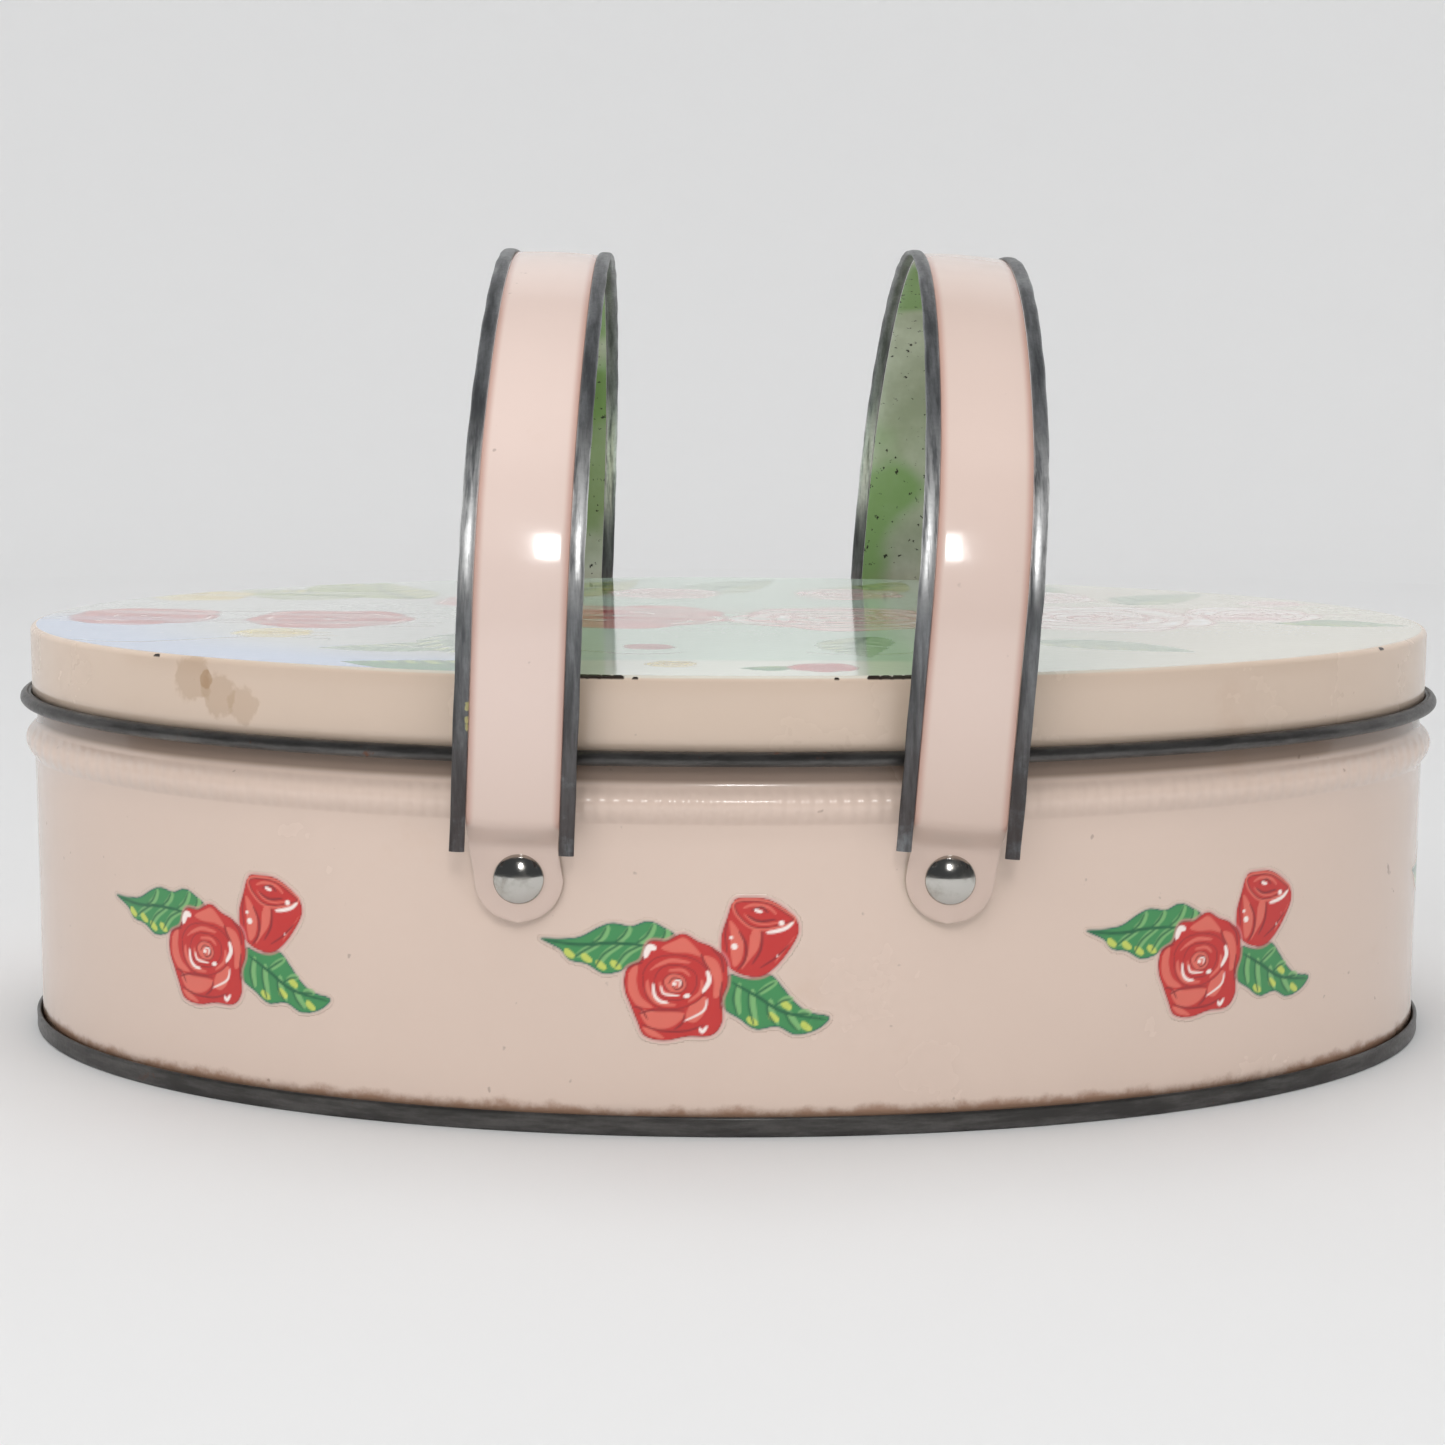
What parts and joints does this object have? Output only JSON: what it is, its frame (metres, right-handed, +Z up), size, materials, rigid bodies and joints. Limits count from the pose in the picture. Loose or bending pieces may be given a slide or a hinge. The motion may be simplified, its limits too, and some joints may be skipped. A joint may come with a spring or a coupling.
{
  "type": "oval hinged-handle tin",
  "caption": "Shallow oval sheet-metal tin with a lift-off lid, a beaded wall, a double-seamed base and riveted swing-over strap handles.",
  "frame": {"origin": "middle of the ring that the tin stands on, at the surface it stands on", "axes": "+Z up, +X along the oval's length towards the right-hand handle, -Y towards the front"},
  "size_m": [0.2542, 0.1704, 0.1387],
  "materials": {
    "pink_enamel": "pale pink glossy lacquer with worn edges",
    "printed_enamel": "printed flowers under glossy lacquer, pale peach skirt",
    "bare_tinplate": "bare darkened tinplate, dull and lightly rusted",
    "nickel_rivet": "polished domed nickel"
  },
  "bodies": {
    "tin": {"body_wall": "pink_enamel", "base_panel": "bare_tinplate", "front_left_rivet": "nickel_rivet", "front_left_washer": "bare_tinplate", "front_right_rivet": "nickel_rivet", "front_right_washer": "bare_tinplate", "rear_left_rivet": "nickel_rivet", "rear_left_washer": "bare_tinplate", "rear_right_rivet": "nickel_rivet", "rear_right_washer": "bare_tinplate"},
    "lid": {"lid_shell": "printed_enamel"},
    "left_handle_body": {"left_handle": "pink_enamel"},
    "right_handle_body": {"right_handle": "pink_enamel"}
  },
  "joints": [
    {"name": "lid_lift", "type": "slide", "parent": "tin", "child": "lid", "axis": [0, 0, 1], "range_m": [0, 0.018]},
    {"name": "left_handle_swing", "type": "hinge", "parent": "tin", "child": "left_handle_body", "pos_m": [-0.0334, 0, 0.0407], "axis": [0, 1, 0], "range_deg": [-103.25, 11.75]},
    {"name": "right_handle_swing", "type": "hinge", "parent": "tin", "child": "right_handle_body", "pos_m": [0.0334, 0, 0.0407], "axis": [0, 1, 0], "range_deg": [-18.1, 96.9]}
  ]
}
